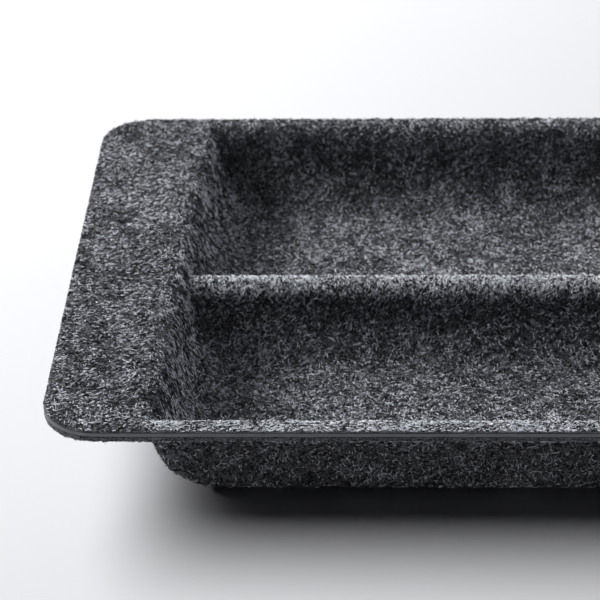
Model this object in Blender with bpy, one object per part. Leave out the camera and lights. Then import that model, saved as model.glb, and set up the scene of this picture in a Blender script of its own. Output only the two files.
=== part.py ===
"""Divided tray moulded from a felt laminate.

The tray is one forming of three plies: a felt on top, a dense stiffener core and a felt below.
Each ply is its own closed solid. All three follow the same mould face, so each is described by
how deep below that face its top and bottom lie, measured square to the face.

Frame: metres, +Z up, origin at the middle of the footprint, on the plane that the tray rests on.
+X runs along the divider, and the near compartment is on the -Y side.
"""
import math

import bpy
import numpy as np

# Outline of the rim, and the height from the resting plane to the rim's top face.
TRAY_LENGTH = 0.400
TRAY_DEPTH = 0.300
TRAY_HEIGHT = 0.042
RIM_CORNER_RADIUS = 0.0253

# Plies, from the top down, and the glue line left between two of them.
UPPER_FELT = 0.0008
STIFFENER = 0.0018
LOWER_FELT = 0.0020
GLUE_LINE = 0.0003
LAMINATE = UPPER_FELT + STIFFENER + LOWER_FELT + 2.0 * GLUE_LINE

# The tub below the rim. A flange or rim width is measured to where the wall, drawn straight,
# would meet the rim's top face. The end flanges are a little wider at the back than in front.
TUB_DEPTH = TRAY_HEIGHT - LAMINATE
END_FLANGE_FRONT = 0.0490
END_FLANGE_BACK = 0.0572
SIDE_RIM = 0.0120
FRONT_CORNER_BLEND = 0.0180
BACK_CORNER_BLEND = 0.0090

# The divider ridge that runs from end to end of the tub. Each compartment is scooped at its back:
# the tub's back wall and the ridge's near face come down to the floor in one wide curve.
RIDGE_Y = -0.0093
RIDGE_DROP = 0.0068
RIDGE_BLEND = 0.0070
CREST_FLAT = 0.0006

# Length of the step that the surface normal is measured over.
NORMAL_STEP = 0.00005

# Grid lines across the rim's rounded corner, as shares of its radius, and grid lines round each
# rounded edge of the walls.
CORNER_SHARES = (0.0, 0.25, 0.5, 0.75, 1.0)
FRONT_STEPS = 3
SCOOP_STEPS = 8
RIDGE_STEPS = 4
END_STEPS = 6


class Wall:
    """A mould wall: a rounded top edge, a straight slope and a rounded foot."""

    def __init__(self, slope_degrees, top_radius, foot_radius, drop):
        self.slope = math.radians(slope_degrees)
        self.top_radius = top_radius
        self.foot_radius = foot_radius
        self.drop = drop
        self.top_reach = top_radius * math.tan(self.slope / 2.0)
        self.foot_reach = foot_radius * math.tan(self.slope / 2.0)
        self.foot = drop / math.tan(self.slope)

    def depth(self, run):
        """Depth at a horizontal run past the line where the slope would meet the top face."""
        widest = math.sin(self.slope)
        past_top = np.clip(run + self.top_reach, 0.0, self.top_radius * widest)
        top = self.top_radius - np.sqrt(self.top_radius ** 2 - past_top ** 2)
        to_floor = np.clip(self.foot + self.foot_reach - run, 0.0, self.foot_radius * widest)
        foot = self.drop - self.foot_radius + np.sqrt(self.foot_radius ** 2 - to_floor ** 2)
        slope = run * math.tan(self.slope)
        on_top = run < self.top_reach * math.cos(self.slope)
        on_foot = run > self.foot - self.foot_reach * math.cos(self.slope)
        return np.where(on_top, top, np.where(on_foot, foot, slope))

    def stations(self, steps):
        """Runs at which grid lines cross the wall: equal turns round both rounded edges."""
        turns = [math.sin(self.slope * step / steps) for step in range(steps + 1)]
        top = [self.top_radius * turn - self.top_reach for turn in turns]
        foot = [self.foot + self.foot_reach - self.foot_radius * turn for turn in reversed(turns)]
        return top + foot


END_WALL = Wall(74.0, 0.0105, 0.0220, TUB_DEPTH)
FRONT_WALL = Wall(84.0, 0.0076, 0.0072, TUB_DEPTH)
BACK_SCOOP = Wall(84.0, 0.0076, 0.0320, TUB_DEPTH)
RIDGE_WALL = Wall(73.0, 0.0095, 0.0090, TUB_DEPTH - RIDGE_DROP)
RIDGE_SCOOP = Wall(76.0, 0.0092, 0.0300, TUB_DEPTH - RIDGE_DROP)


def flange_width(y):
    """Width of the end flanges at a place along the tray's depth."""
    share = y / TRAY_DEPTH + 0.5
    return END_FLANGE_FRONT + share * (END_FLANGE_BACK - END_FLANGE_FRONT)


def blend(depth_a, depth_b, reach):
    """The shallower of two depths, with the inner corner between them rounded.

    The rounding fades out at the rim and at the floor, so both stay flat.
    """
    shallow = np.minimum(depth_a, depth_b)
    level = 2.0 * np.clip(shallow / TUB_DEPTH, 0.0, 1.0)
    fade = np.where(level < 1.0, level ** 2 * (3.0 - 2.0 * level), 1.0 - (level - 1.0) ** 4)
    span = np.maximum(reach * fade, 1e-9)
    overlap = np.maximum(span - np.abs(depth_a - depth_b), 0.0) / span
    return shallow - overlap ** 2 * span / 4.0


def ridge_run(wall, y):
    """How far a place is past the line where a face of the ridge would meet its flat crest."""
    return np.abs(y - RIDGE_Y) - CREST_FLAT / 2.0 - wall.top_reach


def mould_height(x, y):
    """Height of the tray's top face."""
    end_depth = END_WALL.depth(TRAY_LENGTH / 2.0 - flange_width(y) - np.abs(x))
    front_depth = FRONT_WALL.depth(TRAY_DEPTH / 2.0 - SIDE_RIM + y)
    back_depth = BACK_SCOOP.depth(TRAY_DEPTH / 2.0 - SIDE_RIM - y)
    tub_depth = blend(end_depth, front_depth, FRONT_CORNER_BLEND)
    tub_depth = blend(tub_depth, back_depth, BACK_CORNER_BLEND)
    near_depth = RIDGE_SCOOP.depth(ridge_run(RIDGE_SCOOP, y))
    far_depth = RIDGE_WALL.depth(ridge_run(RIDGE_WALL, y))
    ridge_depth = RIDGE_DROP + np.where(y < RIDGE_Y, near_depth, far_depth)
    return TRAY_HEIGHT - blend(tub_depth, ridge_depth, RIDGE_BLEND)


def mould_normal(x, y):
    """Unit normals of the tray's top face, one row a point."""
    step = NORMAL_STEP
    rise_x = (mould_height(x + step, y) - mould_height(x - step, y)) / (2.0 * step)
    rise_y = (mould_height(x, y + step) - mould_height(x, y - step)) / (2.0 * step)
    normals = np.stack([-rise_x, -rise_y, np.ones_like(rise_x)], axis=-1)
    return normals / np.linalg.norm(normals, axis=-1, keepdims=True)


def round_corners(x, y):
    """Pull the points of a rectangle's corners in, so its outline gets round corners."""
    past_x = np.maximum(np.abs(x) - (TRAY_LENGTH / 2.0 - RIM_CORNER_RADIUS), 0.0)
    past_y = np.maximum(np.abs(y) - (TRAY_DEPTH / 2.0 - RIM_CORNER_RADIUS), 0.0)
    reach = np.maximum(np.hypot(past_x, past_y), 1e-12)
    pull = 1.0 - np.maximum(past_x, past_y) / reach
    return x - np.sign(x) * past_x * pull, y - np.sign(y) * past_y * pull


def grid_points():
    """The grid that every ply is meshed on: x and y of each crossing, as two arrays."""
    across = [share * RIM_CORNER_RADIUS for share in CORNER_SHARES]
    front = [0.0] + [SIDE_RIM + run for run in FRONT_WALL.stations(FRONT_STEPS)]
    back = [0.0] + [SIDE_RIM + run for run in BACK_SCOOP.stations(SCOOP_STEPS)]
    lines_y = [inset - TRAY_DEPTH / 2.0 for inset in front + [RIM_CORNER_RADIUS]]
    lines_y += [TRAY_DEPTH / 2.0 - inset for inset in back + [RIM_CORNER_RADIUS]]
    for wall, steps, way in ((RIDGE_SCOOP, SCOOP_STEPS, -1.0), (RIDGE_WALL, RIDGE_STEPS, 1.0)):
        flat = CREST_FLAT / 2.0 + wall.top_reach
        lines_y += [RIDGE_Y + way * (flat + run) for run in wall.stations(steps)[1:]]
    lines_y = np.array(sorted(lines_y + [RIDGE_Y]))

    rows = []
    for y in lines_y:
        wall = [flange_width(y) + run for run in END_WALL.stations(END_STEPS)]
        left = [inset - TRAY_LENGTH / 2.0 for inset in across + wall]
        rows.append(left + [-x for x in reversed(left)])
    x = np.array(rows)
    y = np.repeat(lines_y[:, None], x.shape[1], axis=1)
    return round_corners(x, y)


def ply_object(name, top, bottom, material):
    """One ply between two depths below the mould face, as a closed shell of triangles."""
    x, y = grid_points()
    face = np.stack([x, y, mould_height(x, y)], axis=-1)
    normal = mould_normal(x, y)
    rows, columns = x.shape
    count = rows * columns
    upper = (face - top * normal).reshape(count, 3)
    lower = (face - bottom * normal).reshape(count, 3)

    triangles = []
    for row in range(rows - 1):
        for column in range(columns - 1):
            a = row * columns + column
            b, c, d = a + 1, a + columns + 1, a + columns
            triangles += [(a, b, c), (a, c, d)]
            triangles += [(c + count, b + count, a + count), (d + count, c + count, a + count)]

    first_row = list(range(columns))
    last_column = [row * columns + columns - 1 for row in range(1, rows)]
    last_row = [(rows - 1) * columns + column for column in range(columns - 2, -1, -1)]
    first_column = [row * columns for row in range(rows - 2, 0, -1)]
    rim = first_row + last_column + last_row + first_column
    for here, following in zip(rim, rim[1:] + rim[:1]):
        triangles += [(here, here + count, following + count)]
        triangles += [(here, following + count, following)]

    mesh = bpy.data.meshes.new(name)
    mesh.from_pydata(np.concatenate([upper, lower]).tolist(), [], triangles)
    mesh.materials.append(material)
    mesh.shade_smooth()
    mesh.set_sharp_from_angle(angle=math.radians(40.0))
    ply = bpy.data.objects.new(name, mesh)
    bpy.context.scene.collection.objects.link(ply)
    return ply


def felt_material(name, colour, roughness):
    """A plain fibrous finish."""
    material = bpy.data.materials.new(name)
    material.use_nodes = True
    shader = material.node_tree.nodes["Principled BSDF"]
    shader.inputs["Base Color"].default_value = (*colour, 1.0)
    shader.inputs["Roughness"].default_value = roughness
    shader.inputs["Metallic"].default_value = 0.0
    return material


def build():
    """Make the three plies, from the top down."""
    for leftover in list(bpy.data.objects):
        bpy.data.objects.remove(leftover, do_unlink=True)

    core_top = UPPER_FELT + GLUE_LINE
    lower_top = core_top + STIFFENER + GLUE_LINE
    top_felt = felt_material("top_felt", (0.060, 0.062, 0.068), 0.95)
    core = felt_material("stiffener", (0.030, 0.031, 0.034), 0.80)
    bottom_felt = felt_material("bottom_felt", (0.045, 0.046, 0.050), 0.95)
    ply_object("upper_felt_skin", 0.0, UPPER_FELT, top_felt)
    ply_object("stiffener_core", core_top, core_top + STIFFENER, core)
    ply_object("lower_felt_skin", lower_top, lower_top + LOWER_FELT, bottom_felt)


build()
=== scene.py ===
"""Looks of the divided felt tray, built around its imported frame.

Each of the three plies is a fine closed shell on the same mould face as its CAD node, and the
felts carry their loose fibres as closed strands of their own. Everything is in metres, with +X
along the divider, the near compartment on the -Y side and z = 0 on the plane the tray rests on.
"""

import math

import bpy
import numpy as np
from mathutils import Euler, Matrix, Vector


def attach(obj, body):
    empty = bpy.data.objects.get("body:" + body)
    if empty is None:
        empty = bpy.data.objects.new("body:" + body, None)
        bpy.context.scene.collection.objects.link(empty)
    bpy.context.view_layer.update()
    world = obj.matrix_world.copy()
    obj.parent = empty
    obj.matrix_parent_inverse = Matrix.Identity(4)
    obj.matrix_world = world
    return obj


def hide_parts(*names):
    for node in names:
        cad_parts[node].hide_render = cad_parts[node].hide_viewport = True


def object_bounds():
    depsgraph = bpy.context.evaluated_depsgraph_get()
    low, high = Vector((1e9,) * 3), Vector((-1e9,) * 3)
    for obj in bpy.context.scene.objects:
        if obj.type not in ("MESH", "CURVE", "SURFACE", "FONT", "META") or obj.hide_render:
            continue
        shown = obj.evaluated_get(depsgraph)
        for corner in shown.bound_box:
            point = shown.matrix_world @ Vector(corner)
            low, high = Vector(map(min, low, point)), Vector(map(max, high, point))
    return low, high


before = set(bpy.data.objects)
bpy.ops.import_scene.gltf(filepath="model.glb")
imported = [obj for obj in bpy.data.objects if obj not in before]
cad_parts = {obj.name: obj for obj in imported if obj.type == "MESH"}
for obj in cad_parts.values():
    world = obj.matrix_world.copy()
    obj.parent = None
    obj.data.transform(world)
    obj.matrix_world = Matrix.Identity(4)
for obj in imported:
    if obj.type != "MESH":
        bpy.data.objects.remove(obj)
CAD_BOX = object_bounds()

# ---------------------------------------------------------------------------------------------
# The mould face, by the same rules as the CAD's.
# ---------------------------------------------------------------------------------------------
TRAY_LENGTH = CAD_BOX[1][0] - CAD_BOX[0][0]
TRAY_DEPTH = CAD_BOX[1][1] - CAD_BOX[0][1]
TRAY_HEIGHT = CAD_BOX[1][2] - CAD_BOX[0][2]
HALF_LENGTH = TRAY_LENGTH / 2.0
HALF_DEPTH = TRAY_DEPTH / 2.0
RIM_CORNER_RADIUS = 0.0253
UPPER_FELT = 0.0008
STIFFENER = 0.0018
LOWER_FELT = 0.0020
GLUE_LINE = 0.0003
CORE_TOP = UPPER_FELT + GLUE_LINE
LOWER_TOP = CORE_TOP + STIFFENER + GLUE_LINE
LAMINATE = LOWER_TOP + LOWER_FELT
TUB_DEPTH = TRAY_HEIGHT - LAMINATE
END_FLANGE_FRONT = 0.0490
END_FLANGE_BACK = 0.0572
SIDE_RIM = 0.0120
FRONT_CORNER_BLEND = 0.0180
BACK_CORNER_BLEND = 0.0090
RIDGE_Y = -0.0093
RIDGE_DROP = 0.0068
RIDGE_BLEND = 0.0070
CREST_FLAT = 0.0006

# Length of the step that the surface normal is measured over.
NORMAL_STEP = 0.00005

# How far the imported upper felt's top points may lie off the mould face, and what share of its
# points have to lie on it. The other half are on the ply's lower face.
MOULD_TOLERANCE = 0.0004
LEAST_ON_FACE = 0.4


class Wall:
    """A mould wall: a rounded top edge, a straight slope and a rounded foot."""

    def __init__(self, slope_degrees, top_radius, foot_radius, drop):
        self.slope = math.radians(slope_degrees)
        self.top_radius = top_radius
        self.foot_radius = foot_radius
        self.drop = drop
        self.top_reach = top_radius * math.tan(self.slope / 2.0)
        self.foot_reach = foot_radius * math.tan(self.slope / 2.0)
        self.foot = drop / math.tan(self.slope)

    def depth(self, run):
        """Depth at a horizontal run past the line where the slope would meet the top face."""
        widest = math.sin(self.slope)
        past_top = np.clip(run + self.top_reach, 0.0, self.top_radius * widest)
        top = self.top_radius - np.sqrt(self.top_radius ** 2 - past_top ** 2)
        to_floor = np.clip(self.foot + self.foot_reach - run, 0.0, self.foot_radius * widest)
        foot = self.drop - self.foot_radius + np.sqrt(self.foot_radius ** 2 - to_floor ** 2)
        slope = run * math.tan(self.slope)
        on_top = run < self.top_reach * math.cos(self.slope)
        on_foot = run > self.foot - self.foot_reach * math.cos(self.slope)
        return np.where(on_top, top, np.where(on_foot, foot, slope))


END_WALL = Wall(74.0, 0.0105, 0.0220, TUB_DEPTH)
FRONT_WALL = Wall(84.0, 0.0076, 0.0072, TUB_DEPTH)
BACK_SCOOP = Wall(84.0, 0.0076, 0.0320, TUB_DEPTH)
RIDGE_WALL = Wall(73.0, 0.0095, 0.0090, TUB_DEPTH - RIDGE_DROP)
RIDGE_SCOOP = Wall(76.0, 0.0092, 0.0300, TUB_DEPTH - RIDGE_DROP)


def flange_width(y):
    """Width of the end flanges at a place along the tray's depth."""
    share = y / TRAY_DEPTH + 0.5
    return END_FLANGE_FRONT + share * (END_FLANGE_BACK - END_FLANGE_FRONT)


def blend(depth_a, depth_b, reach):
    """The shallower of two depths, with the inner corner between them rounded.

    The rounding fades out at the rim and at the floor, so both stay flat.
    """
    shallow = np.minimum(depth_a, depth_b)
    level = 2.0 * np.clip(shallow / TUB_DEPTH, 0.0, 1.0)
    fade = np.where(level < 1.0, level ** 2 * (3.0 - 2.0 * level), 1.0 - (level - 1.0) ** 4)
    span = np.maximum(reach * fade, 1e-9)
    overlap = np.maximum(span - np.abs(depth_a - depth_b), 0.0) / span
    return shallow - overlap ** 2 * span / 4.0


def ridge_run(wall, y):
    """How far a place is past the line where a face of the ridge would meet its flat crest."""
    return np.abs(y - RIDGE_Y) - CREST_FLAT / 2.0 - wall.top_reach


def mould_height(x, y):
    """Height of the tray's top face."""
    end_depth = END_WALL.depth(HALF_LENGTH - flange_width(y) - np.abs(x))
    front_depth = FRONT_WALL.depth(HALF_DEPTH - SIDE_RIM + y)
    back_depth = BACK_SCOOP.depth(HALF_DEPTH - SIDE_RIM - y)
    tub_depth = blend(end_depth, front_depth, FRONT_CORNER_BLEND)
    tub_depth = blend(tub_depth, back_depth, BACK_CORNER_BLEND)
    near_depth = RIDGE_SCOOP.depth(ridge_run(RIDGE_SCOOP, y))
    far_depth = RIDGE_WALL.depth(ridge_run(RIDGE_WALL, y))
    ridge_depth = RIDGE_DROP + np.where(y < RIDGE_Y, near_depth, far_depth)
    return TRAY_HEIGHT - blend(tub_depth, ridge_depth, RIDGE_BLEND)


def mould_normal(x, y):
    """Unit normals of the tray's top face."""
    step = NORMAL_STEP
    rise_x = (mould_height(x + step, y) - mould_height(x - step, y)) / (2.0 * step)
    rise_y = (mould_height(x, y + step) - mould_height(x, y - step)) / (2.0 * step)
    normals = np.stack([-rise_x, -rise_y, np.ones_like(rise_x)], axis=-1)
    return normals / np.linalg.norm(normals, axis=-1, keepdims=True)


def check_mould():
    """Stop if the rules above don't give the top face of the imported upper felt."""
    points = np.array([v.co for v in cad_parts["upper_felt_skin"].data.vertices])
    above = points[:, 2] - mould_height(points[:, 0], points[:, 1])
    on_face = np.abs(above) < MOULD_TOLERANCE
    if on_face.mean() < LEAST_ON_FACE:
        raise RuntimeError("the mould rules in this script don't match the packed frame")


# ---------------------------------------------------------------------------------------------
# The fine grid that all plies and fibres follow.
# ---------------------------------------------------------------------------------------------
# Grid lines are evenly spaced along the surface, with a few closer ones at the outline. The first
# even one comes a share of the spacing after them. A ply's hidden face takes every third line.
FINE_SPACING = 0.0015
EDGE_LINES = (0.0, 0.00025, 0.0007)
FIRST_SPACING_SHARE = 0.6
PROFILE_SAMPLES = 8001
COARSE_STEP = 3

# Insets from the tray's ends between which grid lines take the whole slant of the end walls.
WHOLE_SLANT = (0.034, 0.095)

# The noise repeats after this many cells, and its origin lies well outside the tray.
NOISE_CELLS = 256
NOISE_ORIGIN = 1000.0

# Layers of noise, each as its share and the size of its cells, for the lumps on a face and for the
# wandering outline. The outline is also drawn in by a share of its wander.
RELIEF_LAYERS = ((0.65, 0.0065), (0.35, 0.0027))
OUTLINE_LAYERS = ((0.6, 0.0090), (0.4, 0.0024))
OUTLINE_INSET = 0.6

# How far inside the outline a ply's cut edge has its effect.
EDGE_BAND = 0.0012


def even_stations(length, height, spacing):
    """Places from 0 to length, evenly spaced along a profile, with extra lines at both ends."""
    first = EDGE_LINES[-1] + spacing * FIRST_SPACING_SHARE
    run = np.linspace(first, length - first, PROFILE_SAMPLES)
    travelled = np.concatenate([[0.0], np.cumsum(np.hypot(np.diff(run), np.diff(height(run))))])
    extra = 2 * len(EDGE_LINES)
    lines = int(round(travelled[-1] / spacing))
    lines += (COARSE_STEP - (lines + extra) % COARSE_STEP) % COARSE_STEP
    inner = np.interp(np.linspace(0.0, travelled[-1], lines + 1), travelled, run)
    edge = np.array(EDGE_LINES)
    return np.concatenate([edge, inner, length - edge[::-1]])


def taper_share(inset):
    """How much of the end walls' slant a grid line at this inset takes."""
    return np.interp(inset, [RIM_CORNER_RADIUS, *WHOLE_SLANT, HALF_LENGTH], [0, 1, 1, 0])


def round_corners(x, y):
    """Pull the points of a rectangle's corners in, so its outline gets round corners."""
    past_x = np.maximum(np.abs(x) - (HALF_LENGTH - RIM_CORNER_RADIUS), 0.0)
    past_y = np.maximum(np.abs(y) - (HALF_DEPTH - RIM_CORNER_RADIUS), 0.0)
    reach = np.maximum(np.hypot(past_x, past_y), 1e-12)
    pull = 1.0 - np.maximum(past_x, past_y) / reach
    return x - np.sign(x) * past_x * pull, y - np.sign(y) * past_y * pull


def fine_grid():
    """x and y of the fine grid's crossings, one row for each place along the tray's depth."""
    middle = flange_width(0.0)

    def along_profile(run):
        """Height of the end walls along the tray's length, halfway between front and back."""
        return -END_WALL.depth(HALF_LENGTH - middle - np.abs(run - HALF_LENGTH))

    def across_profile(run):
        """Height from front to back, halfway along the tray."""
        return mould_height(np.zeros_like(run), run - HALF_DEPTH)

    along = even_stations(TRAY_LENGTH, along_profile, FINE_SPACING) - HALF_LENGTH
    across = even_stations(TRAY_DEPTH, across_profile, FINE_SPACING) - HALF_DEPTH
    x, y = np.meshgrid(along, across)
    slant = (flange_width(y) - middle) * taper_share(HALF_LENGTH - np.abs(x))
    return round_corners(x - np.sign(x) * slant, y)


def lattice_noise(x, y, cell, seed):
    """Smooth noise between -1 and 1 that changes over about one cell."""
    table = np.random.default_rng(seed).uniform(-1.0, 1.0, (NOISE_CELLS, NOISE_CELLS))
    column, row = x / cell + NOISE_ORIGIN, y / cell + NOISE_ORIGIN
    left, low = np.floor(column).astype(int), np.floor(row).astype(int)
    right_share, high_share = column - left, row - low
    right_share = right_share ** 2 * (3.0 - 2.0 * right_share)
    high_share = high_share ** 2 * (3.0 - 2.0 * high_share)
    left, low = left % NOISE_CELLS, low % NOISE_CELLS
    right, high = (left + 1) % NOISE_CELLS, (low + 1) % NOISE_CELLS
    lower = table[low, left] * (1.0 - right_share) + table[low, right] * right_share
    upper = table[high, left] * (1.0 - right_share) + table[high, right] * right_share
    return lower * (1.0 - high_share) + upper * high_share


def layered_noise(x, y, layers, seed):
    """A sum of smooth noises, each with its own share, cell size and seed."""
    return sum(share * lattice_noise(x, y, cell, seed + index)
               for index, (share, cell) in enumerate(layers))


def along_surface(points):
    """Distance travelled along the grid's rows and down its columns, as two arrays."""
    step_u = np.linalg.norm(np.diff(points, axis=1), axis=-1)
    step_v = np.linalg.norm(np.diff(points, axis=0), axis=-1)
    u = np.concatenate([np.zeros((points.shape[0], 1)), np.cumsum(step_u, axis=1)], axis=1)
    v = np.concatenate([np.zeros((1, points.shape[1])), np.cumsum(step_v, axis=0)], axis=0)
    return u, v


GRID_X, GRID_Y = fine_grid()
FACE = np.stack([GRID_X, GRID_Y, mould_height(GRID_X, GRID_Y)], axis=-1)
NORMAL = mould_normal(GRID_X, GRID_Y)
GRID_U, GRID_V = along_surface(FACE)


def edge_closeness(reach):
    """1 on the outline, falling to 0 at a distance inside it."""
    gap_x = HALF_LENGTH - np.abs(GRID_X)
    gap_y = HALF_DEPTH - np.abs(GRID_Y)
    corner_x = np.maximum(RIM_CORNER_RADIUS - gap_x, 0.0)
    corner_y = np.maximum(RIM_CORNER_RADIUS - gap_y, 0.0)
    in_corner = (corner_x > 0.0) & (corner_y > 0.0)
    corner_gap = RIM_CORNER_RADIUS - np.hypot(corner_x, corner_y)
    gap = np.where(in_corner, corner_gap, np.minimum(gap_x, gap_y))
    return np.clip(1.0 - gap / reach, 0.0, 1.0)


def ply_face(depth, relief, edge_wander, edge_sag=0.0, *, seed):
    """One face of a ply, below the mould face by depth, with uneven relief and outline.

    The cut edge sags by edge_sag, and wanders in and out by edge_wander, mostly inwards.
    """
    lumps = layered_noise(GRID_U, GRID_V, RELIEF_LAYERS, seed)
    near_edge = edge_closeness(EDGE_BAND)
    points = FACE - NORMAL * (depth + edge_sag * near_edge ** 2 - relief * lumps)[..., None]
    wander = layered_noise(GRID_X, GRID_Y, OUTLINE_LAYERS, seed + len(RELIEF_LAYERS))
    wander -= OUTLINE_INSET
    flat = np.zeros_like(GRID_X)
    outward = np.stack([GRID_X / TRAY_LENGTH, GRID_Y / TRAY_DEPTH, flat], axis=-1)
    outward /= np.maximum(np.linalg.norm(outward, axis=-1, keepdims=True), 1e-9)
    return points + outward * (edge_wander * near_edge * wander)[..., None]


# ---------------------------------------------------------------------------------------------
# Which way the fibres lie, and where a painted highlight lightens the felt.
# ---------------------------------------------------------------------------------------------
# Each pair holds where a mask starts and where it is full. Insets are from the tray's ends or
# front edge, depths are below the crest, and falls are metres down per metre along the surface.
FLANGE_INSETS = (0.047, 0.040)
TUB_INSETS = (0.066, 0.044)
FRONT_RIM_INSETS = (0.0155, 0.0120)
END_WALL_FALLS = (0.60, 0.88)
CREST_DEPTHS = (0.0080, 0.0026)

# Half the width of the strip that counts as the divider ridge.
CREST_REACH = 0.016

# How far the fibres are in order, by place. Where they are not, they are tangled.
END_WALL_ORDER = 0.9
FLANGE_ORDER = 0.7
FRONT_RIM_ORDER = 0.8
CREST_ORDER = 0.7


def ease(value, low, high):
    """0 below low, 1 above high, and a smooth step between."""
    share = np.clip((value - low) / (high - low), 0.0, 1.0)
    return share * share * (3.0 - 2.0 * share)


def unit_steps(points):
    """Length of one grid step along rows and down columns, and the fall over each, per length."""
    step_u = np.gradient(points, axis=1)
    step_v = np.gradient(points, axis=0)
    length_u = np.maximum(np.linalg.norm(step_u, axis=-1), 1e-6)
    length_v = np.maximum(np.linalg.norm(step_v, axis=-1), 1e-6)
    return length_u, length_v, -step_u[..., 2] / length_u, -step_v[..., 2] / length_v


def within(distance, limit, insets):
    """0 at the first inset from a limit or further, and 1 at the second inset or nearer."""
    return ease(distance, limit - insets[0], limit - insets[1])


def crest_mask():
    """1 on the top of the divider ridge, away from the end walls."""
    high = within(FACE[..., 2], TRAY_HEIGHT - RIDGE_DROP, CREST_DEPTHS)
    on_ridge = np.abs(GRID_Y - RIDGE_Y) < CREST_REACH
    return high * (on_ridge * IN_TUB_LENGTH * (1.0 - ON_END_WALL))


def tangle_mask():
    """How much the fibres lie in every direction."""
    order = END_WALL_ORDER * ON_END_WALL + FLANGE_ORDER * ON_FLANGE
    order = order + FRONT_RIM_ORDER * ON_FRONT_RIM + CREST_ORDER * ON_CREST
    return 1.0 - np.clip(order, 0.0, 1.0)


LENGTH_U, LENGTH_V, FALL_U, FALL_V = unit_steps(FACE)
ON_FLANGE = within(np.abs(GRID_X), HALF_LENGTH, FLANGE_INSETS)
ON_END_WALL = ease(np.abs(FALL_U), *END_WALL_FALLS)
IN_TUB_LENGTH = 1.0 - within(np.abs(GRID_X), HALF_LENGTH, TUB_INSETS)
ON_FRONT_RIM = within(-GRID_Y, HALF_DEPTH, FRONT_RIM_INSETS) * IN_TUB_LENGTH
ON_CREST = crest_mask()
TANGLE = tangle_mask()
# Painted highlight: the front rim band and the crest get a lighter felt tone and pale fibres,
# standing in for back light caught by the fuzz.
PAINTED_HIGHLIGHT = np.clip(ON_FRONT_RIM + ON_CREST, 0.0, 1.0)
EVERYWHERE = np.ones(GRID_X.shape)
NOWHERE = np.zeros(GRID_X.shape)


# ---------------------------------------------------------------------------------------------
# Meshes.
# ---------------------------------------------------------------------------------------------
# Edges that turn by more degrees than this are shaded sharp.
SHARP_ANGLE = 50.0


def mesh_object(name, vertices, faces, materials, material_index=None):
    """A smooth mesh object from an array of points and a list of equal-sided face arrays."""
    mesh = bpy.data.meshes.new(name)
    sizes = np.concatenate([np.full(len(part), part.shape[1]) for part in faces])
    corners = np.concatenate([part.ravel() for part in faces])
    starts = np.concatenate([[0], np.cumsum(sizes)[:-1]])
    mesh.vertices.add(len(vertices))
    mesh.vertices.foreach_set("co", vertices.astype(np.float32).ravel())
    mesh.loops.add(len(corners))
    mesh.loops.foreach_set("vertex_index", corners.astype(np.int32))
    mesh.polygons.add(len(sizes))
    mesh.polygons.foreach_set("loop_start", starts.astype(np.int32))
    if material_index is not None:
        mesh.polygons.foreach_set("material_index", material_index.astype(np.int32))
    mesh.update(calc_edges=True)
    mesh.shade_smooth()
    for material in materials:
        mesh.materials.append(material)
    piece = bpy.data.objects.new(name, mesh)
    bpy.context.scene.collection.objects.link(piece)
    return piece


def outline_indices(rows, columns):
    """Indices of a grid's outline, once round, anticlockwise from above."""
    first_row = np.arange(columns)
    last_column = np.arange(1, rows) * columns + columns - 1
    last_row = (rows - 1) * columns + np.arange(columns - 2, -1, -1)
    first_column = np.arange(rows - 2, 0, -1) * columns
    return np.concatenate([first_row, last_column, last_row, first_column])


def grid_quads(rows, columns):
    """The quads of a grid, facing up."""
    corner = (np.arange(rows - 1)[:, None] * columns + np.arange(columns - 1)).ravel()
    return np.stack([corner, corner + 1, corner + columns + 1, corner + columns], axis=1)


def ply_piece(name, node, upper, lower, fine_below, material, highlight_and_edge_lift):
    """A ply as a closed shell, with a fine face on the side that shows and a coarse one behind.

    The fine face is the lower one where fine_below is true.
    """
    step_up = COARSE_STEP if fine_below else 1
    step_down = 1 if fine_below else COARSE_STEP
    top = upper[::step_up, ::step_up]
    bottom = lower[::step_down, ::step_down]
    top_count = top.shape[0] * top.shape[1]
    top_rim = outline_indices(*top.shape[:2])
    bottom_rim = outline_indices(*bottom.shape[:2]) + top_count
    top_quads = grid_quads(*top.shape[:2])
    bottom_quads = grid_quads(*bottom.shape[:2])[:, ::-1] + top_count

    fine, coarse = (bottom_rim, top_rim) if fine_below else (top_rim, bottom_rim)
    # Three fine steps meet one coarse step: a triangle, a quad and a triangle.
    first, second, third = [np.roll(fine, -shift)[::COARSE_STEP] for shift in range(COARSE_STEP)]
    fourth, next_coarse = np.roll(first, -1), np.roll(coarse, -1)
    threes = [np.stack([first, coarse, second], axis=1),
              np.stack([third, next_coarse, fourth], axis=1)]
    fours = np.stack([second, coarse, next_coarse, third], axis=1)
    if fine_below:
        threes = [part[:, ::-1] for part in threes]
        fours = fours[:, ::-1]
    vertices = np.concatenate([top.reshape(-1, 3), bottom.reshape(-1, 3)])
    piece = mesh_object(name, vertices, [top_quads, bottom_quads, fours] + threes, [material])
    piece.data.set_sharp_from_angle(angle=math.radians(SHARP_ANGLE))
    add_lay(piece, step_up, step_down, highlight_and_edge_lift)
    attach(piece, "root")
    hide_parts(node)
    return piece


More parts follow.
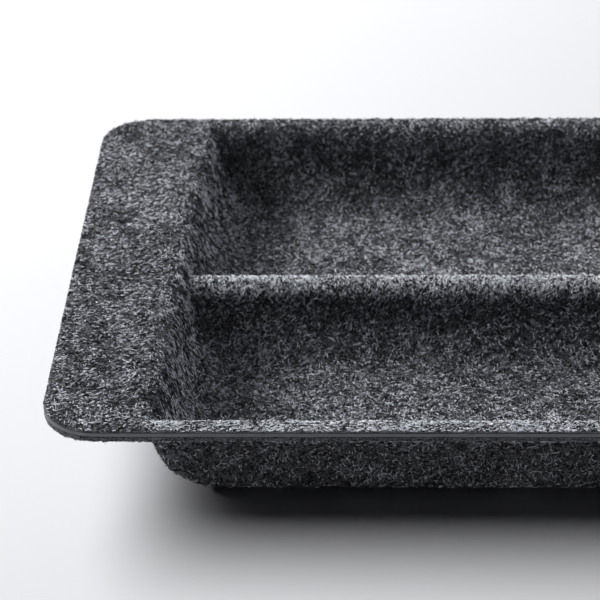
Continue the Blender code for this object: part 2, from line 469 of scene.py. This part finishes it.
def add_lay(piece, step_up, step_down, highlight_and_edge_lift):
    """Store surface distances, the fibres' lay and the tone lift (a painted highlight on the upper
    felt, a lighter edge on the lower) at each vertex, for the shaders.

    The third distance tells the ply's lower face from its upper one, so streaks don't run
    straight down the cut edge between them.
    """
    u = np.concatenate([GRID_U[::s, ::s].ravel() for s in (step_up, step_down)])
    v = np.concatenate([GRID_V[::s, ::s].ravel() for s in (step_up, step_down)])
    below = np.arange(u.size) >= GRID_U[::step_up, ::step_up].size
    felt = np.stack([u, v, LOWER_FELT * below], axis=1)
    place = piece.data.attributes.new("felt_place", "FLOAT_VECTOR", "POINT")
    place.data.foreach_set("vector", felt.astype(np.float32).ravel())
    fields = (("lay_across", ON_CREST), ("lay_tangle", TANGLE), ("highlight_and_edge_lift", highlight_and_edge_lift))
    for name, values in fields:
        kept = np.concatenate([values[::s, ::s].ravel() for s in (step_up, step_down)])
        attribute = piece.data.attributes.new(name, "FLOAT", "POINT")
        attribute.data.foreach_set("value", kept.astype(np.float32))


# ---------------------------------------------------------------------------------------------
# Loose fibres.
# ---------------------------------------------------------------------------------------------
FIBRES_A_PIECE = 16000

# A fibre's length, with the median and the spread of its logarithm, and its radius.
MEDIAN_LENGTH = 0.0022
LENGTH_SPREAD = 0.40
LENGTH_RANGE = (0.0009, 0.006)
END_WALL_EXTRA_LENGTH = 0.4
RADIUS_RANGE = (0.00013, 0.00025)

# Cross-sections between a fibre's two tips, and where on each its three corners are.
RINGS = 2
CORNER_TURNS = np.radians([90.0, 210.0, 330.0])

# Headings, in radians: the slant of the combing on the end walls, how headings drift from place to
# place, and how far they scatter, with what is added off the end walls and where fibres tangle.
COMB_SLANT = 0.30
DRIFT, DRIFT_CELL, DRIFT_SEED = 0.5, 0.011, 71
SCATTER, LOOSE_SCATTER, TANGLE_SCATTER = 0.36, 0.20, 0.5

# How much fibres bend, in radians per metre, with its share on the combed end walls and what is
# added to that share elsewhere.
BEND = 650.0
COMBED_BEND, LOOSE_BEND = 0.4, 0.8

# How far a fibre as a whole and its arched middle stand off the felt. The power leaves most of the
# free tips low.
BASE_LIFT = (0.00001, 0.00026)
HIGHEST_ARCH = 0.00030
TIP_POWER = 6

# Keeps a fibre's points inside the grid's last cell.
LAST_CELL = 1.001

# Pale and dark fibres gather in clumps.
CLUMP_LAYERS = ((0.20, 0.0012), (0.22, 0.0075))
CLUMP_SEED = 91


def pick(field, row, column):
    """Values of a field at fractional rows and columns of the grid."""
    low = np.clip(np.floor(row).astype(int), 0, field.shape[0] - 2)
    left = np.clip(np.floor(column).astype(int), 0, field.shape[1] - 2)
    down = np.clip(row - low, 0.0, 1.0)
    over = np.clip(column - left, 0.0, 1.0)
    if field.ndim == 3:
        down, over = down[..., None], over[..., None]
    upper = field[low, left] * (1.0 - over) + field[low, left + 1] * over
    lower = field[low + 1, left] * (1.0 - over) + field[low + 1, left + 1] * over
    return upper * (1.0 - down) + lower * down


def scatter(count, weight, rng):
    """Fractional rows and columns of points spread evenly over the surface, times a weight."""
    area = (LENGTH_U * LENGTH_V * weight)[:-1, :-1]
    edges = np.cumsum(area.ravel())
    cell = np.searchsorted(edges, rng.uniform(0.0, edges[-1], count))
    cell = np.minimum(cell, edges.size - 1)
    row = cell // area.shape[1] + rng.uniform(0.0, 1.0, count)
    column = cell % area.shape[1] + rng.uniform(0.0, 1.0, count)
    return row, column


def fibre_headings(row, column, rng):
    """Direction of each fibre on the surface, and its bend.

    Fibres lie along X on the flanges and the front rim, down the fall on the end walls, and
    along Y elsewhere.
    """
    count = len(row)
    fall = np.arctan2(pick(FALL_V, row, column), pick(FALL_U, row, column))
    combed = pick(ON_END_WALL, row, column)
    on_rim = pick(ON_FLANGE, row, column) + pick(ON_FRONT_RIM, row, column)
    heading = np.where(on_rim > 0.5, 0.0, math.pi / 2.0)
    heading = np.where(combed > 0.5, fall - COMB_SLANT * np.cos(fall), heading)
    u, v = pick(GRID_U, row, column), pick(GRID_V, row, column)
    heading = heading + DRIFT * lattice_noise(u, v, DRIFT_CELL, DRIFT_SEED)
    spread = SCATTER + LOOSE_SCATTER * (1.0 - combed) + TANGLE_SCATTER * pick(TANGLE, row, column)
    heading = heading + rng.normal(0.0, 1.0, count) * spread
    bend = rng.normal(0.0, BEND, count) * (COMBED_BEND + LOOSE_BEND * (1.0 - combed))
    return heading, bend


def fibre_paths(surface, side, row, column, length, rng, loose):
    """Points along each fibre, tip to tip, and the surface normal at each."""
    count = len(row)
    heading, bend = fibre_headings(row, column, rng)
    places = np.linspace(-0.5, 0.5, RINGS + 2)
    points, normals = [], []
    for place in places:
        run = length * place
        turn = heading + bend * run / 2.0
        here_row = row + run * np.sin(turn) / pick(LENGTH_V, row, column)
        here_column = column + run * np.cos(turn) / pick(LENGTH_U, row, column)
        here_row = np.clip(here_row, 0.0, surface.shape[0] - LAST_CELL)
        here_column = np.clip(here_column, 0.0, surface.shape[1] - LAST_CELL)
        points.append(pick(surface, here_row, here_column))
        normals.append(pick(NORMAL, here_row, here_column) * side)
    points, normals = np.stack(points, axis=1), np.stack(normals, axis=1)
    normals /= np.linalg.norm(normals, axis=-1, keepdims=True)

    base = rng.uniform(*BASE_LIFT, (count, 1))
    arch = rng.uniform(0.0, HIGHEST_ARCH, (count, 1)) * (1.0 - (2.0 * places) ** 2)
    tip = rng.uniform(0.0, 1.0, (count, 1)) ** TIP_POWER * loose
    lift = base + arch + tip * np.clip(places + 0.5, 0.0, 1.0) ** 2
    return points + normals * lift[..., None], normals


def strand_mesh(points, normals, radius):
    """Vertices and triangles of closed three-sided strands that are pointed at both tips."""
    count = len(points)
    tangent = np.gradient(points, axis=1)
    tangent /= np.maximum(np.linalg.norm(tangent, axis=-1, keepdims=True), 1e-9)
    side = np.cross(tangent, normals)
    side /= np.maximum(np.linalg.norm(side, axis=-1, keepdims=True), 1e-9)
    up = np.cross(side, tangent)
    between = []
    for ring in range(1, RINGS + 1):
        for turn in CORNER_TURNS:
            offset = side[:, ring] * math.cos(turn) + up[:, ring] * math.sin(turn)
            between.append(points[:, ring] + offset * radius[:, None])
    vertices = np.stack([points[:, 0]] + between + [points[:, -1]], axis=1)

    corners = len(CORNER_TURNS)
    last = corners * RINGS + 1
    faces = []
    for corner in range(corners):
        following = (corner + 1) % corners
        faces.append((0, 1 + following, 1 + corner))
        for ring in range(RINGS - 1):
            a, b = 1 + corners * ring + corner, 1 + corners * ring + following
            faces += [(a, b, b + corners), (a, b + corners, a + corners)]
        a, b = last - corners + corner, last - corners + following
        faces.append((a, b, last))
    shift = np.arange(count)[:, None, None] * (last + 1)
    return vertices.reshape(-1, 3), (np.array(faces)[None] + shift).reshape(-1, 3)


def fibre_pieces(name, surface, side, count, weight, shades, seed, loose):
    """The loose fibres of one felt face, as a few pieces of closed strands.

    side is 1 on a face that looks up and -1 on one that looks down. shades holds each material
    with its share, and loose is the furthest that a tip stands off.
    """
    materials = [shade for shade, share in shades]
    shares = np.array([share for shade, share in shades])
    pieces = []
    for index in range(math.ceil(count / FIBRES_A_PIECE)):
        here = min(FIBRES_A_PIECE, count - index * FIBRES_A_PIECE)
        rng = np.random.default_rng(seed + index)
        row, column = scatter(here, weight, rng)
        length = rng.lognormal(math.log(MEDIAN_LENGTH), LENGTH_SPREAD, here)
        length = np.clip(length, *LENGTH_RANGE)
        length *= 1.0 + END_WALL_EXTRA_LENGTH * pick(ON_END_WALL, row, column)
        points, normals = fibre_paths(surface, side, row, column, length, rng, loose)
        radius = rng.uniform(*RADIUS_RANGE, here)
        points[..., 2] = np.maximum(points[..., 2], radius[:, None])
        vertices, faces = strand_mesh(points, normals, radius)
        u, v = pick(GRID_U, row, column), pick(GRID_V, row, column)
        clump = layered_noise(u, v, CLUMP_LAYERS, CLUMP_SEED)
        chance = np.clip(rng.uniform(0.0, 1.0, here) + clump, 0.0, 1.0)
        shade = np.searchsorted(np.cumsum(shares)[:-1], chance)
        kind = np.repeat(shade, len(faces) // here)
        piece = mesh_object(f"{name}_{index + 1:02d}", vertices, [faces], materials, kind)
        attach(piece, "root")
        pieces.append(piece)
    return pieces


# ---------------------------------------------------------------------------------------------
# Materials.
# ---------------------------------------------------------------------------------------------
# Scales of the felt's patterns, per metre of surface. A strand's are along it, across it, and
# between the two faces of a ply.
STRAND_SCALE = (420.0, 3600.0, 2400.0)
WOBBLE_SCALE = 220.0
WOBBLE_REACH = (0.004, 0.004, 0.0)
CLOUD_SCALE = 130.0
FLECK_SCALE = 2100.0

# Shares of the clouds and the flecks in the felt's tone, and how much the stored lift raises it: a
# painted highlight on the upper felt, a lighter edge on the lower felt.
CLOUD_SHARE = 0.25
FLECK_SHARE = 0.28
HIGHLIGHT_AND_EDGE_LIFT = 0.05

# Tones at which the felt is dark, middling and pale.
TONE_STOPS = (0.45, 0.52, 0.60)


def new_material(name):
    """A material with its node tree and its Principled shader."""
    material = bpy.data.materials.new(name)
    material.use_nodes = True
    tree = material.node_tree
    return material, tree, tree.nodes["Principled BSDF"]


def set_inputs(tree, node, inputs):
    """Set each input of a node to a value, or link it to another node's output."""
    for key, value in inputs.items():
        if isinstance(value, bpy.types.NodeSocket):
            tree.links.new(value, node.inputs[key])
        else:
            node.inputs[key].default_value = value


def add_node(tree, kind, inputs, **settings):
    """A new shader node, with its settings and its inputs."""
    node = tree.nodes.new("ShaderNode" + kind)
    for setting, value in settings.items():
        setattr(node, setting, value)
    set_inputs(tree, node, inputs)
    return node


def stored(tree, name, output):
    """A value that add_lay stored on the mesh."""
    return add_node(tree, "Attribute", {}, attribute_name=name).outputs[output]


def mixed(tree, share, first, second):
    """A plain mix of two values."""
    return add_node(tree, "Mix", {0: share, 2: first, 3: second}).outputs[0]


def toned(tree, tone, stops):
    """A colour that goes through stops, each a place and a colour, as the tone rises."""
    node = add_node(tree, "ValToRGB", {"Fac": tone})
    elements = node.color_ramp.elements
    for element, (place, colour) in ((elements[0], stops[0]), (elements[1], stops[-1])):
        element.position = place
        element.color = (*colour, 1.0)
    for place, colour in stops[1:-1]:
        elements.new(place).color = (*colour, 1.0)
    return node.outputs["Color"]


def raised(tree, height, strength, distance):
    """A normal that follows a height."""
    inputs = {"Strength": strength, "Distance": distance, "Height": height}
    return add_node(tree, "Bump", inputs).outputs["Normal"]


def fibre_material(name, colour, gloss):
    """A polyester fibre: a plain tone, with a sheen that is stronger edge-on, both by gloss."""
    material, tree, shader = new_material(name)
    facing = add_node(tree, "LayerWeight", {"Blend": 0.35}).outputs["Facing"]
    sheen = add_node(tree, "Math", {0: facing, 1: gloss}, operation="MULTIPLY")
    set_inputs(tree, shader, {
        "Base Color": (*colour, 1.0),
        "Roughness": 0.55,
        "Specular IOR Level": 0.5 * gloss,
        "Sheen Weight": sheen.outputs["Value"],
        "Sheen Roughness": 0.4,
    })
    return material


def strands(tree, place, turn, seed):
    """Thin streaks along one direction of the surface, turned by degrees."""
    rotation = (0.0, 0.0, math.radians(turn))
    inputs = {"Vector": place, "Rotation": rotation, "Location": (seed, seed, seed)}
    mapping = add_node(tree, "Mapping", inputs)
    stretch = add_node(tree, "VectorMath", {0: mapping.outputs["Vector"], 1: STRAND_SCALE},
                       operation="MULTIPLY")
    inputs = {"Vector": stretch.outputs["Vector"], "Scale": 1.0, "Detail": 2.0, "Roughness": 0.6}
    return add_node(tree, "TexNoise", inputs).outputs["Fac"]


def felt_material(name, dark, mid, pale):
    """Heathered felt: short strands that follow the lay, over slow clouds of tone."""
    material, tree, shader = new_material(name)
    place = stored(tree, "felt_place", "Vector")
    wobble = add_node(tree, "TexNoise", {"Vector": place, "Scale": WOBBLE_SCALE})
    centred = add_node(tree, "VectorMath", {0: wobble.outputs["Color"], 1: (0.5, 0.5, 0.5)},
                       operation="SUBTRACT")
    inputs = {0: centred.outputs["Vector"], 1: WOBBLE_REACH, 2: place}
    moved = add_node(tree, "VectorMath", inputs, operation="MULTIPLY_ADD").outputs["Vector"]

    across = stored(tree, "lay_across", "Fac")
    ordered = mixed(tree, across, strands(tree, moved, 4.0, 0.0), strands(tree, moved, 86.0, 3.0))
    inputs = {0: strands(tree, moved, 38.0, 7.0), 1: strands(tree, moved, 131.0, 11.0)}
    crossed = add_node(tree, "Math", inputs, operation="MAXIMUM").outputs["Value"]
    streaks = mixed(tree, stored(tree, "lay_tangle", "Fac"), ordered, crossed)

    inputs = {"Vector": place, "Scale": CLOUD_SCALE, "Detail": 3.0}
    clouds = add_node(tree, "TexNoise", inputs).outputs["Fac"]
    cells = add_node(tree, "TexVoronoi", {"Vector": moved, "Scale": FLECK_SCALE})
    flecks = add_node(tree, "SeparateColor", {"Color": cells.outputs["Color"]}).outputs["Red"]
    tone = mixed(tree, CLOUD_SHARE, streaks, clouds)
    tone = mixed(tree, FLECK_SHARE, tone, flecks)
    # The stored lift lightens the tone: a painted highlight on the upper felt's front rim and
    # crest, and a lighter band near the lower felt's outline.
    inputs = {0: stored(tree, "highlight_and_edge_lift", "Fac"), 1: HIGHLIGHT_AND_EDGE_LIFT, 2: tone}
    lifted = add_node(tree, "Math", inputs, operation="MULTIPLY_ADD").outputs["Value"]

    set_inputs(tree, shader, {
        "Base Color": toned(tree, lifted, list(zip(TONE_STOPS, (dark, mid, pale)))),
        "Normal": raised(tree, tone, 0.9, 0.00025),
        "Roughness": 0.95,
        "Specular IOR Level": 0.2,
        "Sheen Weight": 0.08,
        "Sheen Roughness": 0.45,
    })
    return material


def core_material():
    """Pressed stiffener: charcoal lightened by a painted reflection of the bright floor, with
    faint streaks along the cut edge.
    """
    material, tree, shader = new_material("pressed_stiffener")
    place = add_node(tree, "TexCoord", {}).outputs["Object"]
    stretch = add_node(tree, "VectorMath", {0: place, 1: (180.0, 180.0, 2200.0)},
                       operation="MULTIPLY")
    inputs = {"Vector": stretch.outputs["Vector"], "Scale": 1.0, "Detail": 4.0}
    noise = add_node(tree, "TexNoise", inputs).outputs["Fac"]
    # The stiffener's charcoal, lightened to stand in for the bright floor reflected in its cut
    # edge: a painted reflection.
    stops = [(0.3, (0.11, 0.112, 0.12)), (0.7, (0.19, 0.194, 0.205))]
    set_inputs(tree, shader, {
        "Base Color": toned(tree, noise, stops),
        "Normal": raised(tree, noise, 0.4, 0.0001),
        "Roughness": 0.75,
    })
    return material


# ---------------------------------------------------------------------------------------------
# Building.
# ---------------------------------------------------------------------------------------------
UPPER_FIBRES = 128000
HIGHLIGHT_FIBRES = 22000
EDGE_FIBRES = 9000
LOWER_FIBRES = 96000

# Height of the lumps on the two faces that show. The lower face's stand down, so it is negative.
UPPER_RELIEF = 0.00014
LOWER_RELIEF = -0.00010

# How far the cut edges wander and sag: a loose felt more than the pressed core.
FELT_WANDER = 0.00022
CORE_WANDER = 0.00008
FELT_SAG = 0.0002

# How far inside the outline the lower felt's tone is lifted lighter, and how far its edge fibres
# reach.
EDGE_LIFT_REACH = 0.003
EDGE_FIBRE_REACH = 0.004

LOOKS_UP = 1.0
LOOKS_DOWN = -1.0


def build_plies():
    """The three plies. Also gives the two faces that show, for the loose fibres."""
    top_felt = felt_material(
        "upper_felt", (0.006, 0.006, 0.007), (0.040, 0.041, 0.046), (0.26, 0.265, 0.29))
    under_felt = felt_material(
        "lower_felt", (0.006, 0.006, 0.007), (0.028, 0.029, 0.032), (0.15, 0.152, 0.165))
    core = core_material()

    top = ply_face(0.0, UPPER_RELIEF, FELT_WANDER, FELT_SAG, seed=11)
    top_back = ply_face(UPPER_FELT, 0.0, FELT_WANDER, seed=15)
    core_top = ply_face(CORE_TOP, 0.0, CORE_WANDER, seed=21)
    core_back = ply_face(CORE_TOP + STIFFENER, 0.0, CORE_WANDER, seed=25)
    under_top = ply_face(LOWER_TOP, 0.0, FELT_WANDER, seed=31)
    under = ply_face(LAMINATE, LOWER_RELIEF, FELT_WANDER, -FELT_SAG, seed=35)
    under[..., 2] = np.maximum(under[..., 2], 0.0)

    plies = [
        ply_piece("upper_felt", "upper_felt_skin", top, top_back, False,
                  top_felt, PAINTED_HIGHLIGHT),
        ply_piece("stiffener", "stiffener_core", core_top, core_back, False,
                  core, NOWHERE),
        ply_piece("lower_felt", "lower_felt_skin", under_top, under, True,
                  under_felt, edge_closeness(EDGE_LIFT_REACH)),
    ]
    return plies, top, under


def build_fibres(top, under):
    """The loose fibres of both felts."""
    pale = fibre_material("pale_fibre", (0.80, 0.82, 0.89), 1.0)
    bright = fibre_material("bright_fibre", (0.80, 0.82, 0.88), 1.0)
    soft = fibre_material("soft_fibre", (0.66, 0.67, 0.72), 1.0)
    mid = fibre_material("grey_fibre", (0.15, 0.156, 0.178), 0.5)
    dark = fibre_material("dark_fibre", (0.010, 0.010, 0.013), 0.2)
    near_edge = edge_closeness(EDGE_FIBRE_REACH)
    pieces = fibre_pieces(
        "upper_fibres", top, LOOKS_UP, UPPER_FIBRES, EVERYWHERE,
        shades=[(pale, 0.285), (mid, 0.19), (dark, 0.525)], seed=100, loose=0.0014)
    # Painted highlight: mostly pale fibres massed on the front rim and the crest, where the fuzz
    # catches the back light.
    pieces += fibre_pieces(
        "painted_highlight_fibres", top, LOOKS_UP, HIGHLIGHT_FIBRES, PAINTED_HIGHLIGHT,
        shades=[(bright, 0.68), (mid, 0.12), (dark, 0.20)], seed=200, loose=0.0012)
    pieces += fibre_pieces(
        "edge_fibres", under, LOOKS_DOWN, EDGE_FIBRES, near_edge,
        shades=[(soft, 0.32), (mid, 0.28), (dark, 0.40)], seed=400, loose=0.0016)
    pieces += fibre_pieces(
        "lower_fibres", under, LOOKS_DOWN, LOWER_FIBRES, EVERYWHERE,
        shades=[(soft, 0.27), (mid, 0.17), (dark, 0.56)], seed=300, loose=0.0009)
    return pieces


def build_tray():
    """The three plies and their loose fibres."""
    check_mould()
    plies, top, under = build_plies()
    return plies + build_fibres(top, under)


# ---------------------------------------------------------------------------------------------
# Studio.
# ---------------------------------------------------------------------------------------------
# The camera looks along +Y. It is pitched down and rolled, and then turned about its own upright
# axis, all in degrees.
CAMERA_PLACE = (-0.0477, -1.0036, TRAY_HEIGHT + 0.5731)
CAMERA_PITCH = 30.74
CAMERA_ROLL = 0.08
CAMERA_YAW = 2.12
CAMERA_LENS = 144.0
CAMERA_SENSOR = 36.0
CAMERA_STOP = 32.0
CAMERA_CLIP = (0.05, 30.0)
FOCUS_PLACE = (0.0, -HALF_DEPTH, TRAY_HEIGHT)

# The floor lies a little below the tray's foot. Between the two distances of the fade, the camera
# sees it pass into the background.
FLOOR_SIZE = 8.0
FLOOR_GAP = 0.0004
FLOOR_FADE = (0.70, 2.00)
BACKGROUND = (0.90, 0.90, 0.93, 1.0)
UNSEEN_WORLD = (0.001, 0.001, 0.0012, 1.0)

WHITE = (1.0, 1.0, 1.0)
COOL = (0.94, 0.97, 1.0)


def area_light(name, place, aim, size, power, colour):
    """A rectangular soft light that points at a place."""
    lamp = bpy.data.lights.new(name, "AREA")
    lamp.shape = "RECTANGLE"
    lamp.size, lamp.size_y = size
    lamp.energy = power
    lamp.color = colour
    light = bpy.data.objects.new(name, lamp)
    light.location = place
    toward = Vector(aim) - Vector(place)
    light.rotation_euler = toward.to_track_quat("-Z", "Y").to_euler()
    bpy.context.scene.collection.objects.link(light)
    return light


def light_only(name, lights, pieces):
    """Let some lights fall on some pieces only."""
    receivers = bpy.data.collections.new(name)
    for piece in pieces:
        receivers.objects.link(piece)
    for light in lights:
        light.light_linking.receiver_collection = receivers


def floor_material():
    """A pale matt floor that passes into the background far from the tray, for the camera only."""
    material, tree, shader = new_material("studio_floor")
    set_inputs(tree, shader, {"Base Color": (0.870, 0.877, 0.902, 1.0), "Roughness": 0.9})
    place = add_node(tree, "TexCoord", {}).outputs["Object"]
    distance = add_node(tree, "VectorMath", {0: place}, operation="LENGTH").outputs["Value"]
    inputs = {"Value": distance, "From Min": FLOOR_FADE[0], "From Max": FLOOR_FADE[1]}
    fade = add_node(tree, "MapRange", inputs, interpolation_type="SMOOTHSTEP").outputs["Result"]
    seen = add_node(tree, "LightPath", {}).outputs["Is Camera Ray"]
    share = add_node(tree, "Math", {0: seen, 1: fade}, operation="MULTIPLY").outputs["Value"]
    haze = add_node(tree, "Emission", {"Color": BACKGROUND}).outputs["Emission"]
    inputs = {"Fac": share, 1: shader.outputs["BSDF"], 2: haze}
    surface = add_node(tree, "MixShader", inputs).outputs["Shader"]
    set_inputs(tree, tree.nodes["Material Output"], {"Surface": surface})
    material.cycles.emission_sampling = "NONE"
    return material


def build_floor():
    """The floor that the tray rests on."""
    half = FLOOR_SIZE / 2.0
    corners = np.array([(-half, -half, 0.0), (half, -half, 0.0), (half, half, 0.0),
                        (-half, half, 0.0)])
    quad = np.array([[0, 1, 2, 3]])
    floor = mesh_object("studio_floor", corners, [quad], [floor_material()])
    floor.location.z = -FLOOR_GAP
    return floor


def build_lights(tray, floor):
    """A wide soft key behind on the left, dim lights for the tray's shaded faces, and a backdrop.

    The dim lights reach the tray only, so they don't lift its shadow on the floor.
    """
    middle = (0.0, 0.0, 0.0)
    area_light("key", (-1.90, 1.22, 1.42), middle, (3.0, 0.7), 143.0, WHITE)
    fill = area_light("fill", (1.90, 0.90, 1.20), middle, (1.6, 1.2), 20.0, COOL)
    sky = area_light("sky", (0.0, -0.3, 1.6), middle, (2.4, 2.4), 4.9, COOL)
    card = area_light("card", (0.6, -1.5, 0.10), (0.0, 0.0, 0.03), (1.2, 0.1), 3.6, COOL)
    backdrop = area_light("backdrop", (1.6, 2.6, 1.4), (0.8, 1.2, 0.0), (2.0, 1.0), 6.0, WHITE)
    light_only("floor_only", [backdrop], [floor])
    light_only("tray_only", [fill, sky, card], tray)


def build_world():
    """A pale background for the camera, which lights next to nothing."""
    world = bpy.data.worlds.new("studio")
    bpy.context.scene.world = world
    world.use_nodes = True
    tree = world.node_tree
    seen = add_node(tree, "LightPath", {}).outputs["Is Camera Ray"]
    inputs = {"Factor": seen, "A": UNSEEN_WORLD, "B": BACKGROUND}
    colour = add_node(tree, "Mix", inputs, data_type="RGBA").outputs["Result"]
    set_inputs(tree, tree.nodes["Background"], {"Color": colour})


def build_camera():
    """The photo's camera. It focuses on a place, so other angles stay sharp too."""
    focus = bpy.data.objects.new("focus", None)
    focus.location = FOCUS_PLACE
    bpy.context.scene.collection.objects.link(focus)

    lens = bpy.data.cameras.new("camera")
    lens.lens = CAMERA_LENS
    lens.sensor_width = CAMERA_SENSOR
    lens.clip_start, lens.clip_end = CAMERA_CLIP
    lens.dof.use_dof = True
    lens.dof.focus_object = focus
    lens.dof.aperture_fstop = CAMERA_STOP
    camera = bpy.data.objects.new("camera", lens)
    camera.location = CAMERA_PLACE
    tilt = Euler((math.radians(90.0 - CAMERA_PITCH), math.radians(CAMERA_ROLL), 0.0))
    turn = Matrix.Rotation(math.radians(CAMERA_YAW), 3, "Y")
    camera.rotation_euler = (tilt.to_matrix() @ turn).to_euler()
    bpy.context.scene.collection.objects.link(camera)
    bpy.context.scene.camera = camera


def build_studio(tray):
    """The floor, the lights, the background and the camera."""
    build_lights(tray, build_floor())
    build_world()
    build_camera()
    bpy.context.scene.view_settings.view_transform = "Standard"


build_studio(build_tray())
